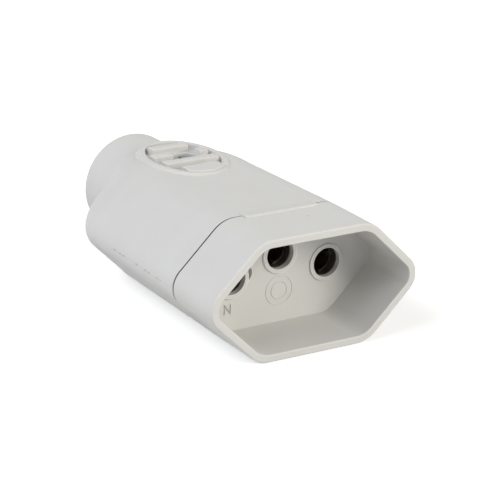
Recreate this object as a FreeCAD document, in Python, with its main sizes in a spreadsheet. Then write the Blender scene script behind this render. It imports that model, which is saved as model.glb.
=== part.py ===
"""Rewirable inline power socket for round pins: a six-sided moulded cup and a screwed-on rear cover.

Every piece is drawn in one frame: x to the right seen from the mouth, y from the mouth's rim back to
the cord end, z up, with the middle of the rim as origin. Placing the pieces then moves the origin to
the middle of the object's footprint, on the surface that it lies on.
"""
import FreeCAD, Part
import collections
import math
import os
import re

import Sketcher

# Driving sizes in millimetres, and degrees for a draft.
SIZES = {
    # Outside of the cup and of the cover's front edge
    "overall_length": 65.4,
    "half_width": 20.2,
    "half_height": 10.8,
    "flat_half": 8.6,
    "side_round": 4.0,
    "corner_round": 5.5,
    "seam_depth": 12.6,
    "seam_gap": 0.28,
    "seam_bevel": 0.1,
    "rim_round": 0.3,
    # Mouth of the cup
    "cup_wall": 1.38,
    "recess_depth": 11.8,
    "recess_draft": 0.8,
    "floor_thickness": 2.4,
    "mouth_round": 0.2,
    # Pin pattern of the socket face
    "pin_pitch": 19.0,
    "earth_offset": 3.0,
    "pin_length": 19.0,
    "pin_hole_radius": 2.65,
    "collar_width": 0.7,
    "collar_height": 0.3,
    "relief_radius": 1.8,
    "relief_width": 0.75,
    "relief_depth": 0.9,
    "relief_rise": 0.7,
    # Joint between cup and cover
    "fit_clearance": 0.15,
    "spigot_length": 5.4,
    "spigot_wall": 1.5,
    "tongue_half_width": 7.15,
    "tongue_reach": 1.25,
    "tongue_thickness": 0.9,
    "tongue_bevel": 0.2,
    "tongue_rise": 0.28,
    "tongue_ramp": 5.0,
    # Cover: barrel, shoulder and neck
    "cover_wall": 2.0,
    "waist_depth": 41.0,
    "waist_side_taper": 0.27,
    "waist_top_taper": 0.35,
    "waist_under_taper": 0.2,
    "waist_flat_half": 7.4,
    "waist_corner_round": 7.0,
    "neck_depth": 56.5,
    "neck_drop": 1.05,
    "neck_step": 0.15,
    "neck_taper": 0.2,
    "neck_facet": 0.3,
    "neck_wall": 2.3,
    "neck_round": 0.8,
    "end_wall": 3.0,
    "cord_hole_radius": 5.0,
    # Thumb grips on the cover
    "grip_depth": 44.8,
    "grip_half_width": 7.2,
    "grip_half_length": 10.1,
    "grip_end_round": 5.8,
    "grip_rim_width": 0.9,
    "grip_rim_rise": 0.1,
    "grip_floor_drop": 0.8,
    "grip_edge_round": 0.25,
    "grip_flank": 40.0,
    "rib_edge_round": 0.3,
    "rib_rise": 0.45,
    "rib_spacing": 4.15,
    "rib_shift": 0.35,
    "rib_width": 1.9,
    "rib_margin": 0.5,
    "front_bar_half_width": 3.6,
    "front_bar_round": 0.15,
    # Contacts
    "contact_bore_radius": 2.42,
    "contact_wall": 0.85,
    "contact_front_gap": 0.2,
    "contact_slot_width": 0.7,
    "contact_slot_length": 10.0,
    "contact_collar_length": 3.0,
    "pin_end_gap": 0.5,
    "spring_setback": 3.0,
    "spring_width": 2.2,
    "spring_thickness": 0.4,
    "spring_clearance": 0.03,
    "spring_gap": 1.2,
    "tower_clearance": 0.1,
    "tower_wall": 0.6,
    "terminal_width": 6.2,
    "terminal_length": 7.0,
    "wire_hole_radius": 1.6,
    "wire_hole_depth": 5.6,
    # Screws
    "thread_radius": 1.25,
    "thread_clearance": 0.03,
    "shank_clearance": 0.25,
    "screw_slot_width": 0.6,
    "screw_slot_depth": 0.7,
    "terminal_head_radius": 2.0,
    "terminal_head_height": 1.2,
    "terminal_screw_bite": 0.5,
    "clamp_head_radius": 2.0,
    "clamp_head_height": 1.6,
    "cover_screw_offset": 1.0,
    "cover_head_radius": 2.55,
    "cover_head_height": 1.4,
    "well_clearance": 0.35,
    "well_wall": 1.3,
    "well_seat": 1.5,
    "well_gap": 0.1,
    # Tail of the cup, with the cord clamp and the contact retainer
    "tail_clearance": 0.65,
    "tail_thickness": 2.0,
    "tail_half_width": 5.4,
    "retainer_thickness": 1.8,
    "retainer_half_width": 13.6,
    "retainer_gap": 0.1,
    "retainer_clearance": 0.1,
    "retainer_top": 6.7,
    "retainer_shoulder": 1.6,
    "retainer_slope": 5.2,
    "retainer_foot": 2.6,
    "retainer_tongue_half_width": 3.6,
    "clamp_length": 5.0,
    "clamp_half_width": 8.0,
    "clamp_screw_pitch": 11.8,
    "cord_radius": 3.75,
    "saddle_top": 2.0,
    "bridge_bottom": 2.0,
    "bridge_thickness": 2.4,
    "bridge_boss_rise": 2.2,
    "pilot_depth": 3.4,
}

# Distance within which an edge counts as lying on a plane
TOUCH = 0.01

doc = FreeCAD.newDocument("inline_socket")
sheet = doc.addObject("Spreadsheet::Sheet", "sizes")
for row, (alias, size) in enumerate(SIZES.items(), start=1):
    sheet.set("A%d" % row, alias)
    sheet.set("B%d" % row, str(size))
    sheet.setAlias("B%d" % row, alias)
doc.recompute()


def formula(text):
    """Turn a formula in plain size names into an expression on the sheet."""
    def on_sheet(word):
        return "sizes." + word.group() if word.group() in SIZES else word.group()
    return re.sub(r"[a-z_]+", on_sheet, text)


def value(text):
    """Work out a formula with the sheet's present sizes."""
    return float(sheet.evalExpression(formula(text)))


def bind(item, path, text):
    item.setExpression(path, formula(text))


# Sketches and features

def add_body(label, x="0", y="0", z="0"):
    """Start a piece whose own origin lies at x, y and z from the middle of the rim."""
    body = doc.addObject("PartDesign::Body", label)
    body.Label = label
    bind(body, "Placement.Base.x", x)
    bind(body, "Placement.Base.y", "-overall_length / 2 + " + y)
    bind(body, "Placement.Base.z", "half_height + " + z)
    return body


def add_sketch(body, name, role, raised, across="0", along="0"):
    """Add a sketch on one of the body's origin planes, raised along the plane's normal."""
    sketch = body.newObject("Sketcher::SketchObject", name)
    planes = {item.Role: item for item in body.Origin.OriginFeatures}
    sketch.AttachmentSupport = [(planes[role], "")]
    sketch.MapMode = "FlatFace"
    bind(sketch, "AttachmentOffset.Base.x", across)
    bind(sketch, "AttachmentOffset.Base.y", along)
    bind(sketch, "AttachmentOffset.Base.z", raised)
    return sketch


def front_sketch(body, name, depth, across="0", up="0"):
    """A sketch seen from the mouth, at a depth behind the rim: its x is x and its y is z."""
    return add_sketch(body, name, "XZ_Plane", "-(%s)" % depth, across, up)


def plan_sketch(body, name, height, across="0", along="0"):
    """A sketch seen from above, at a height over the socket's axis."""
    return add_sketch(body, name, "XY_Plane", height, across, along)


def dimension(sketch, kind, text, *reference):
    """Add a driving dimension to a sketch and bind it to its formula."""
    index = sketch.addConstraint(Sketcher.Constraint(kind, *reference, value(text)))
    name = "%s_%d" % (kind.lower(), index)
    sketch.renameConstraint(index, name)
    bind(sketch, "Constraints." + name, text)


def place_point(sketch, geometry, point, x, y):
    """Fix a point of a sketch at x and y from the sketch's origin."""
    if x == "0":
        sketch.addConstraint(Sketcher.Constraint("PointOnObject", geometry, point, -2))
    else:
        dimension(sketch, "DistanceX", x, -1, 1, geometry, point)
    if y == "0":
        sketch.addConstraint(Sketcher.Constraint("PointOnObject", geometry, point, -1))
    else:
        dimension(sketch, "DistanceY", y, -1, 1, geometry, point)


def add_circle(sketch, radius, x="0", y="0"):
    centre = FreeCAD.Vector(value(x), value(y), 0)
    circle = sketch.addGeometry(Part.Circle(centre, FreeCAD.Vector(0, 0, 1), value(radius)))
    place_point(sketch, circle, 3, x, y)
    dimension(sketch, "Radius", radius, circle)


def add_polygon(sketch, corners):
    """Add a closed outline of straight sides, each corner fixed by its two formulas."""
    points = [FreeCAD.Vector(value(x), value(y), 0) for x, y in corners]
    sides = [sketch.addGeometry(Part.LineSegment(start, end))
             for start, end in zip(points, points[1:] + points[:1])]
    for side, following in zip(sides, sides[1:] + sides[:1]):
        sketch.addConstraint(Sketcher.Constraint("Coincident", side, 2, following, 1))
    for side, (x, y) in zip(sides, corners):
        place_point(sketch, side, 1, x, y)


def add_rectangle(sketch, left, right, low, high):
    add_polygon(sketch, [(left, low), (right, low), (right, high), (left, high)])


def add_arc(sketch, x, y, radius, start, end):
    circle = Part.Circle(FreeCAD.Vector(x, y, 0), FreeCAD.Vector(0, 0, 1), radius)
    return sketch.addGeometry(Part.ArcOfCircle(circle, start, end))


def arc_end(x, y, radius, angle):
    return FreeCAD.Vector(x + radius * math.cos(angle), y + radius * math.sin(angle), 0)


Corner = collections.namedtuple("Corner", "across up radius x y r lean")


def round_corner(height, flat, corner_round, inset, side_x, side_r):
    """One corner of a six-sided outline: its formulas, its numbers and the lean of the side below it."""
    up = "%s - (%s)" % (height, corner_round)
    radius = "%s - (%s)" % (corner_round, inset)
    x, y, r = value(flat), value(up), value(radius)
    lean = math.acos((r - side_r) / math.hypot(side_x - x, y)) - math.atan2(y, side_x - x)
    return Corner(flat, up, radius, x, y, r, lean)


def add_rounded_hexagon(sketch, section, inset="0"):
    """Add a six-sided outline with round corners, drawn a wall's inset inside its section.

    A section gives the half width and the radius of the two sides, and then, for the upper and for the
    lower half, the height, the half length of the flat and the radius of the two corners. An inset keeps
    the round corners' centres.
    """
    half_width, side_round = section[:2]
    side_x = "%s - (%s)" % (half_width, side_round)
    side_radius = "%s - (%s)" % (side_round, inset)
    x, r = value(side_x), value(side_radius)
    top, low = (round_corner(*half, inset, x, r) for half in (section[2:5], section[5:]))
    turn = math.pi
    rounds = [
        (x, 0, r, -low.lean, top.lean),
        (top.x, top.y, top.r, top.lean, turn / 2),
        (-top.x, top.y, top.r, turn / 2, turn - top.lean),
        (-x, 0, r, turn - top.lean, turn + low.lean),
        (-low.x, -low.y, low.r, turn + low.lean, 1.5 * turn),
        (low.x, -low.y, low.r, 1.5 * turn, 2 * turn - low.lean),
    ]
    arcs = []
    sides = []
    for this, following in zip(rounds, rounds[1:] + rounds[:1]):
        arcs.append(add_arc(sketch, *this))
        start = arc_end(*this[:3], this[4])
        end = arc_end(*following[:3], following[3])
        sides.append(sketch.addGeometry(Part.LineSegment(start, end)))
    for arc, side, following in zip(arcs, sides, arcs[1:] + arcs[:1]):
        sketch.addConstraint(Sketcher.Constraint("Tangent", arc, 2, side, 1))
        sketch.addConstraint(Sketcher.Constraint("Tangent", side, 2, following, 1))
    right, top_right, top_left, left, low_left, low_right = arcs
    place_point(sketch, right, 3, side_x, "0")
    place_point(sketch, top_right, 3, top.across, top.up)
    place_point(sketch, low_right, 3, low.across, "-(%s)" % low.up)
    dimension(sketch, "Radius", side_radius, right)
    dimension(sketch, "Radius", top.radius, top_right)
    dimension(sketch, "Radius", low.radius, low_right)
    for arc, twin in ((left, right), (top_left, top_right), (low_left, low_right)):
        sketch.addConstraint(Sketcher.Constraint("Equal", twin, arc))
        sketch.addConstraint(Sketcher.Constraint("Symmetric", arc, 3, twin, 3, -2))


def add_oval(sketch, half_width, half_length, end_round):
    """Add an oval of two end arcs and two flatter side arcs that run into each other."""
    end_y = "(%s) - (%s)" % (half_length, end_round)
    side_radius = "((%s)^2 + (%s)^2 - (%s)^2) / (2 * ((%s) - (%s)))" % (
        half_width, end_y, end_round, half_width, end_round)
    width, y, r, side_r = (value(text) for text in (half_width, end_y, end_round, side_radius))
    side_x = side_r - width
    spread = math.atan2(y, side_x)
    turn = math.pi
    right = add_arc(sketch, -side_x, 0, side_r, -spread, spread)
    rear = add_arc(sketch, 0, y, r, spread, turn - spread)
    left = add_arc(sketch, side_x, 0, side_r, turn - spread, turn + spread)
    front = add_arc(sketch, 0, -y, r, turn + spread, 2 * turn - spread)
    for arc, following in ((right, rear), (rear, left), (left, front), (front, right)):
        sketch.addConstraint(Sketcher.Constraint("Tangent", arc, 2, following, 1))
    place_point(sketch, rear, 3, "0", end_y)
    sketch.addConstraint(Sketcher.Constraint("Symmetric", front, 3, rear, 3, -1))
    dimension(sketch, "Radius", end_round, rear)
    sketch.addConstraint(Sketcher.Constraint("Equal", rear, front))
    dimension(sketch, "Radius", side_radius, right)
    sketch.addConstraint(Sketcher.Constraint("Equal", right, left))


def add_front_bar(sketch, half_width, chord, end_y, radius):
    """Add a bar with a straight rear edge and sides, whose front follows the end arc of an oval."""
    x, y, middle, r = (value(text) for text in (half_width, chord, end_y, radius))
    spread = math.asin(x / r)
    arc = add_arc(sketch, 0, -middle, r, 1.5 * math.pi - spread, 1.5 * math.pi + spread)
    front_y = -middle - r * math.cos(spread)
    corners = [FreeCAD.Vector(*point, 0) for point in ((x, front_y), (x, y), (-x, y), (-x, front_y))]
    right, rear, left = [sketch.addGeometry(Part.LineSegment(start, end))
                         for start, end in zip(corners, corners[1:])]
    chain = [arc, right, rear, left]
    for side, following in zip(chain, chain[1:] + chain[:1]):
        sketch.addConstraint(Sketcher.Constraint("Coincident", side, 2, following, 1))
    for side in (right, left):
        sketch.addConstraint(Sketcher.Constraint("Vertical", side))
    place_point(sketch, rear, 1, half_width, chord)
    place_point(sketch, rear, 2, "-(%s)" % half_width, chord)
    place_point(sketch, arc, 3, "0", "-(%s)" % end_y)
    dimension(sketch, "Radius", radius, arc)


def pad(body, sketch, length, backwards=False):
    """Raise a sketch into material along its plane's normal, or against it."""
    feature = body.newObject("PartDesign::Pad", sketch.Name + "_pad")
    feature.Profile = sketch
    feature.Reversed = backwards
    bind(feature, "Length", length)
    return feature


def pocket(body, sketch, length, forwards=False, draft="0"):
    """Cut a sketch into the material against its plane's normal, or along it."""
    feature = body.newObject("PartDesign::Pocket", sketch.Name + "_pocket")
    feature.Profile = sketch
    feature.Reversed = forwards
    bind(feature, "Length", length)
    bind(feature, "TaperAngle", draft)
    return feature


def loft(body, kind, name, sections, inset="0"):
    """Add or cut a smooth run of six-sided sections."""
    sketches = []
    for number, (depth, section) in enumerate(sections):
        sketch = front_sketch(body, "%s_%d" % (name, number), depth)
        add_rounded_hexagon(sketch, section, inset)
        sketches.append(sketch)
    feature = body.newObject("PartDesign::" + kind, name)
    feature.Profile = sketches[0]
    feature.Sections = sketches[1:]
    return feature


def edges_where(shape, test):
    """Names of the edges whose every sample point meets a test."""
    names = []
    for number, edge in enumerate(shape.Edges, start=1):
        if all(test(point) for point in edge.discretize(5)):
            names.append("Edge%d" % number)
    return names


def inner_edges_at(shape, depth):
    """Names of the edges round the opening of the flat face at a depth."""
    for face in shape.Faces:
        if all(near(vertex.Y, depth) for vertex in face.Vertexes):
            inner = [edge for wire in face.Wires if not wire.isSame(face.OuterWire) for edge in wire.Edges]
            return ["Edge%d" % number for number, edge in enumerate(shape.Edges, start=1)
                    if any(edge.isSame(other) for other in inner)]
    raise RuntimeError("no flat face at that depth")


def dress(body, kind, base, test, size, name):
    """Round or bevel the edges of the last feature that meet a test."""
    doc.recompute()
    feature = body.newObject("PartDesign::" + kind, name)
    feature.Base = (base, edges_where(base.Shape, test))
    bind(feature, "Radius" if kind == "Fillet" else "Size", size)
    return feature


def near(number, text):
    """Whether a coordinate lies at a formula's value."""
    return abs(number - value(text)) < TOUCH


# Places that several pieces share

CONTACTS = {
    "line": ("pin_pitch / 2", "0"),
    "neutral": ("-pin_pitch / 2", "0"),
    "earth": ("0", "earth_offset"),
}
FLOOR_BACK = "recess_depth + floor_thickness"
CONTACT_FRONT = FLOOR_BACK + " + contact_front_gap"
SEAT = "recess_depth + pin_length + pin_end_gap"
SLEEVE_RADIUS = "contact_bore_radius + contact_wall"
SPRING_RADIUS = SLEEVE_RADIUS + " + spring_clearance + spring_thickness"
CHAMBER_RADIUS = SPRING_RADIUS + " + tower_clearance"
TERMINAL_MIDDLE = SEAT + " + terminal_length / 2"
RETAINER_FRONT = SEAT + " + terminal_length + retainer_gap"
WAIST_HALF_HEIGHT = "half_height - waist_top_taper"
NECK_RADIUS = "half_height - neck_drop"
TAIL_BOTTOM = "-(%s - cover_wall - tail_clearance)" % WAIST_HALF_HEIGHT
TAIL_TOP = TAIL_BOTTOM + " + tail_thickness"
RIB_MIDDLE = "grip_depth - rib_shift"
SCREW_DEPTH = RIB_MIDDLE + " + rib_spacing / 2"
CLAMP_FRONT = SCREW_DEPTH + " - clamp_length / 2"
CLAMP_BACK = SCREW_DEPTH + " + clamp_length / 2"
CLAMP_SIDES = ("-clamp_screw_pitch / 2", "clamp_screw_pitch / 2")
BRIDGE_TOP = "bridge_bottom + bridge_thickness"
BOSS_TOP = BRIDGE_TOP + " + bridge_boss_rise"
WELL_BOTTOM = BOSS_TOP + " + well_gap"
WELL_SEAT = WELL_BOTTOM + " + well_seat"
WELL_RADIUS = "cover_head_radius + well_clearance"
RIB_TOP = "half_height + rib_rise"
GRIP_FLOOR = "half_height - grip_floor_drop"
SEAM_BACK = "seam_depth + seam_gap"

# Sections of the outside, from the cup to the neck's end

CUP_HALF = ("half_height", "flat_half", "corner_round")
CUP = ("half_width", "side_round", *CUP_HALF, *CUP_HALF)
SEAM_HALF = ("half_height - seam_bevel", "flat_half", "corner_round - seam_bevel")
SEAM_EDGE = ("half_width - seam_bevel", "side_round - seam_bevel", *SEAM_HALF, *SEAM_HALF)
WAIST = ("half_width - waist_side_taper", "side_round",
         WAIST_HALF_HEIGHT, "waist_flat_half", "waist_corner_round",
         "half_height - waist_under_taper", "flat_half", "corner_round")
SHOULDER_STEPS = 4


def round_section(radius):
    """A six-sided section whose corners are rounded until only narrow facets are left."""
    corner = "%s - neck_facet * sqrt(3)" % radius
    half = (radius, "neck_facet", corner)
    return (radius, corner, *half, *half)


def mix(first, last, share):
    """A section part of the way from a first one to a last one."""
    return tuple("(%s) * (1 - (%s)) + (%s) * (%s)" % (start, share, end, share)
                 for start, end in zip(first, last))


def shoulder_sections():
    """Depths and sections of the cover's shoulder, which curves in and then runs out into the neck."""
    neck = round_section(NECK_RADIUS + " + neck_step")
    sections = []
    for step in range(SHOULDER_STEPS + 1):
        share = step / SHOULDER_STEPS
        depth = "waist_depth + (neck_depth - waist_depth) * %.4f" % share
        sections.append((depth, mix(neck, WAIST, "%.4f" % (1 - share ** 3) ** 2)))
    return sections


# Pieces

def socket_body():
    """The front moulding: cup, floor with pin holes, contact chambers, and a tail with the cord's saddle."""
    body = add_body("socket_body")
    outline = front_sketch(body, "cup_outline", "0")
    add_rounded_hexagon(outline, CUP)
    cup = pad(body, outline, "seam_depth", backwards=True)
    rim = dress(body, "Fillet", cup, lambda p: near(p.y, "0"), "rim_round", "cup_rim_round")
    dress(body, "Chamfer", rim, lambda p: near(p.y, "seam_depth"), "seam_bevel", "cup_seam_bevel")

    spigot_section = mix(CUP, WAIST, "spigot_length / (waist_depth - seam_depth)")
    spigot = front_sketch(body, "spigot", "seam_depth")
    add_rounded_hexagon(spigot, spigot_section, "cover_wall + fit_clearance")
    pad(body, spigot, "spigot_length", backwards=True)
    hollow = front_sketch(body, "spigot_hollow", "seam_depth + spigot_length")
    add_rounded_hexagon(hollow, spigot_section, "cover_wall + fit_clearance + spigot_wall")
    pocket(body, hollow, "seam_depth + spigot_length - (%s)" % FLOOR_BACK, forwards=True)

    mouth = front_sketch(body, "mouth", "0")
    add_rounded_hexagon(mouth, CUP, "cup_wall")
    recess = pocket(body, mouth, "recess_depth", draft="-recess_draft")
    doc.recompute()
    mouth_edge = body.newObject("PartDesign::Fillet", "mouth_edge")
    mouth_edge.Base = (recess, inner_edges_at(recess.Shape, "0"))
    bind(mouth_edge, "Radius", "mouth_round")

    relief = front_sketch(body, "collar_relief", "recess_depth")
    relief_x = "-pin_pitch / 2 + pin_hole_radius + collar_width + relief_width - relief_radius"
    add_circle(relief, "relief_radius", relief_x, "relief_rise")
    pocket(body, relief, "relief_depth")
    collars = front_sketch(body, "collars", "recess_depth - collar_height")
    towers = front_sketch(body, "towers", "recess_depth + floor_thickness / 2")
    chambers = front_sketch(body, "chambers", SEAT)
    pin_holes = front_sketch(body, "pin_holes", "recess_depth - collar_height")
    for x, z in CONTACTS.values():
        add_circle(collars, "pin_hole_radius + collar_width", x, z)
        add_circle(towers, CHAMBER_RADIUS + " + tower_wall", x, z)
        add_circle(chambers, CHAMBER_RADIUS, x, z)
        add_circle(pin_holes, "pin_hole_radius", x, z)
    pad(body, collars, "collar_height + relief_depth", backwards=True)
    pad(body, towers, "%s - recess_depth - floor_thickness / 2" % SEAT, backwards=True)
    pocket(body, chambers, "%s - (%s)" % (SEAT, FLOOR_BACK), forwards=True)
    pocket(body, pin_holes, "collar_height + floor_thickness")

    tail = front_sketch(body, "tail", "recess_depth + floor_thickness / 2")
    add_rectangle(tail, "-tail_half_width", "tail_half_width", TAIL_BOTTOM, TAIL_TOP)
    pad(body, tail, "%s - recess_depth - floor_thickness / 2" % CLAMP_BACK, backwards=True)
    saddle = front_sketch(body, "saddle", CLAMP_FRONT)
    add_rectangle(saddle, "-clamp_half_width", "clamp_half_width", TAIL_TOP, "-saddle_top")
    pad(body, saddle, "clamp_length", backwards=True)
    cradle = front_sketch(body, "saddle_cradle", CLAMP_FRONT)
    add_circle(cradle, "cord_radius")
    pocket(body, cradle, "clamp_length")
    pilots = plan_sketch(body, "saddle_pilots", "-saddle_top", along=SCREW_DEPTH)
    for x in CLAMP_SIDES:
        add_circle(pilots, "thread_radius + thread_clearance", x)
    pocket(body, pilots, "pilot_depth")
    slot = plan_sketch(body, "retainer_slot", TAIL_TOP, along=RETAINER_FRONT)
    slot_half = "retainer_tongue_half_width + retainer_clearance"
    add_rectangle(slot, "-(%s)" % slot_half, slot_half,
                  "-retainer_clearance", "retainer_thickness + retainer_clearance")
    pocket(body, slot, "tail_thickness")

    notch = plan_sketch(body, "tongue_notch", "half_height", along="seam_depth")
    notch_half = "tongue_half_width + fit_clearance"
    add_rectangle(notch, "-(%s)" % notch_half, notch_half, "-tongue_reach", "spigot_length")
    pocket(body, notch, "tongue_thickness + fit_clearance")
    return body


def is_on_rib_top(point, front):
    """Whether a point lies on the top of the thumb rib that starts at a depth."""
    return near(point.z, RIB_TOP) and value(front) - TOUCH < point.y < value(front + " + rib_width") + TOUCH


def rear_cover():
    """The rear moulding: a lofted sleeve from the six-sided seam over round shoulders to the neck."""
    body = add_body("rear_cover")
    bevel_back = SEAM_BACK + " + seam_bevel"
    loft(body, "AdditiveLoft", "seam_edge", [(SEAM_BACK, SEAM_EDGE), (bevel_back, CUP)])
    loft(body, "AdditiveLoft", "barrel", [(bevel_back, CUP), ("waist_depth", WAIST)])
    loft(body, "AdditiveLoft", "shoulder", shoulder_sections())
    neck_profile = add_sketch(body, "neck_profile", "YZ_Plane", "0")
    add_polygon(neck_profile, [("neck_depth", "0"), ("overall_length", "0"),
                               ("overall_length", NECK_RADIUS + " - neck_taper"),
                               ("neck_depth", NECK_RADIUS)])
    neck = body.newObject("PartDesign::Revolution", "neck")
    neck.Profile = neck_profile
    neck.ReferenceAxis = (neck_profile, ["H_Axis"])
    dress(body, "Fillet", neck, lambda p: near(p.y, "overall_length"), "neck_round", "neck_end_round")

    buried = NECK_RADIUS + " - cover_wall"
    grip = ("grip_half_width", "grip_half_length", "grip_end_round")
    under_island = plan_sketch(body, "grip_island_under", "-(%s)" % buried, along="grip_depth")
    add_oval(under_island, *grip)
    pad(body, under_island, "half_height - (%s)" % buried, backwards=True)
    rim_top = "half_height + grip_rim_rise"
    top_island = plan_sketch(body, "grip_island_top", rim_top, along="grip_depth")
    add_oval(top_island, *grip)
    raised = pad(body, top_island, "grip_rim_rise + waist_top_taper + cover_wall / 4", backwards=True)
    bind(raised, "TaperAngle", "grip_flank")
    dress(body, "Fillet", raised, lambda p: near(p.z, rim_top), "grip_edge_round", "grip_edge")

    barrel_ends = [("seam_depth", CUP), ("waist_depth", WAIST)]
    loft(body, "SubtractiveLoft", "barrel_inside", barrel_ends, "cover_wall")
    loft(body, "SubtractiveLoft", "shoulder_inside", shoulder_sections(), "cover_wall")
    bore = front_sketch(body, "neck_bore", "neck_depth - cover_wall")
    add_circle(bore, NECK_RADIUS + " - neck_wall")
    pocket(body, bore, "overall_length - end_wall - neck_depth + cover_wall")
    entry = front_sketch(body, "cord_entry", "overall_length - end_wall")
    add_circle(entry, "cord_hole_radius")
    pocket(body, entry, "end_wall")

    boss = plan_sketch(body, "screw_boss", WELL_BOTTOM, "cover_screw_offset", SCREW_DEPTH)
    add_circle(boss, WELL_RADIUS + " + well_wall")
    pad(body, boss, "%s - cover_wall / 2 - (%s)" % (WAIST_HALF_HEIGHT, WELL_BOTTOM))

    oval = [size + " - grip_rim_width" for size in grip]
    top_recess = plan_sketch(body, "grip_recess_top", rim_top, along="grip_depth")
    add_oval(top_recess, *oval)
    pocket(body, top_recess, "grip_rim_rise + grip_floor_drop")
    under_recess = plan_sketch(body, "grip_recess_under", "-half_height", along="grip_depth")
    add_oval(under_recess, *oval)
    pocket(body, under_recess, "grip_floor_drop", forwards=True)
    buried_foot = "%s - cover_wall / 4" % GRIP_FLOOR
    bar = ("front_bar_half_width", "-rib_shift - 1.5 * rib_spacing + rib_width / 2",
           "grip_half_length - grip_end_round", "grip_end_round - grip_rim_width / 2")
    under_bar = plan_sketch(body, "grip_front_bar_under", "-half_height", along="grip_depth")
    add_front_bar(under_bar, *bar)
    pad(body, under_bar, "half_height - (%s)" % buried_foot)
    top_bar = plan_sketch(body, "grip_front_bar_top", RIB_TOP, along="grip_depth")
    add_front_bar(top_bar, *bar)
    raised = pad(body, top_bar, "%s - (%s)" % (RIB_TOP, buried_foot), backwards=True)
    dress(body, "Fillet", raised, lambda p: near(p.z, RIB_TOP), "front_bar_round", "grip_front_bar_round")
    for number, step in enumerate((-0.5, 0.5, 1.5), start=1):
        far_edge = "abs(%s * rib_spacing - rib_shift) + rib_width / 2" % step
        half_length = "(%s) * sqrt(1 - ((%s) / (%s))^2) - rib_margin" % (oval[0], far_edge, oval[1])
        front = "%s + %s * rib_spacing - rib_width / 2" % (RIB_MIDDLE, step)
        under = front_sketch(body, "grip_rib_under_%d" % number, front)
        add_rectangle(under, "-(%s)" % half_length, half_length, "-half_height", "-(%s)" % buried_foot)
        pad(body, under, "rib_width", backwards=True)
        rib = front_sketch(body, "grip_rib_top_%d" % number, front)
        add_rectangle(rib, "-(%s)" % half_length, half_length, buried_foot, RIB_TOP)
        raised = pad(body, rib, "rib_width", backwards=True)
        dress(body, "Fillet", raised, lambda p: is_on_rib_top(p, front),
              "rib_edge_round", "grip_rib_round_%d" % number)

    well = plan_sketch(body, "screw_well", RIB_TOP, "cover_screw_offset", SCREW_DEPTH)
    add_circle(well, WELL_RADIUS)
    pocket(body, well, "%s - (%s)" % (RIB_TOP, WELL_SEAT))
    hole = plan_sketch(body, "screw_hole", WELL_SEAT, "cover_screw_offset", SCREW_DEPTH)
    add_circle(hole, "thread_radius + shank_clearance")
    pocket(body, hole, "well_seat")

    tongue = add_sketch(body, "tongue_profile", "YZ_Plane", "0")
    tongue_front = "seam_depth - tongue_reach"
    tongue_top = "half_height + tongue_rise"
    tongue_foot = "half_height - tongue_thickness"
    add_polygon(tongue, [(tongue_front, tongue_foot), (tongue_front + " + tongue_ramp", tongue_foot),
                         (tongue_front + " + tongue_ramp", "half_height - tongue_rise"),
                         (tongue_front + " + tongue_bevel", tongue_top),
                         (tongue_front, tongue_top + " - tongue_bevel")])
    ramp = pad(body, tongue, "2 * tongue_half_width")
    ramp.Midplane = True
    return body


def add_contact(name, x, z):
    """A brass contact: a split sleeve for the pin, a collar that centres it and a pillar terminal."""
    body = add_body(name + "_contact", x=x, z=z)
    sleeve = front_sketch(body, name + "_sleeve", CONTACT_FRONT)
    add_circle(sleeve, SLEEVE_RADIUS)
    length = "%s - (%s)" % (SEAT, CONTACT_FRONT)
    pad(body, sleeve, length, backwards=True)
    collar = front_sketch(body, name + "_collar", "%s - contact_collar_length" % SEAT)
    add_circle(collar, SPRING_RADIUS)
    pad(body, collar, "contact_collar_length", backwards=True)
    terminal = front_sketch(body, name + "_terminal", SEAT)
    half = "terminal_width / 2"
    add_rectangle(terminal, "-" + half, half, "-" + half, half)
    pad(body, terminal, "terminal_length", backwards=True)
    bore = front_sketch(body, name + "_bore", CONTACT_FRONT)
    add_circle(bore, "contact_bore_radius")
    pocket(body, bore, length)
    slit = "contact_slot_width / 2"
    upright = front_sketch(body, name + "_upright_slot", CONTACT_FRONT)
    add_rectangle(upright, "-" + slit, slit, "-(%s)" % SLEEVE_RADIUS, SLEEVE_RADIUS)
    pocket(body, upright, "contact_slot_length")
    level = front_sketch(body, name + "_level_slot", CONTACT_FRONT)
    add_rectangle(level, "-(%s)" % SLEEVE_RADIUS, SLEEVE_RADIUS, "-" + slit, slit)
    pocket(body, level, "contact_slot_length")
    wire = front_sketch(body, name + "_wire_hole", SEAT + " + terminal_length")
    add_circle(wire, "wire_hole_radius")
    pocket(body, wire, "wire_hole_depth", forwards=True)
    tapped = plan_sketch(body, name + "_tapped_hole", half, along=TERMINAL_MIDDLE)
    add_circle(tapped, "thread_radius + thread_clearance")
    pocket(body, tapped, half)
    return body


def add_spring(name, x, z):
    """A split steel ring that presses a contact's fingers together."""
    body = add_body(name + "_spring_ring", x=x, z=z)
    front = CONTACT_FRONT + " + spring_setback"
    ring = front_sketch(body, name + "_ring", front)
    add_circle(ring, SPRING_RADIUS)
    add_circle(ring, SLEEVE_RADIUS + " + spring_clearance")
    pad(body, ring, "spring_width", backwards=True)
    gap = front_sketch(body, name + "_ring_gap", front)
    add_rectangle(gap, "-spring_gap / 2", "spring_gap / 2", "-(%s) * 1.1" % SPRING_RADIUS, "0")
    pocket(body, gap, "spring_width")
    return body


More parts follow.
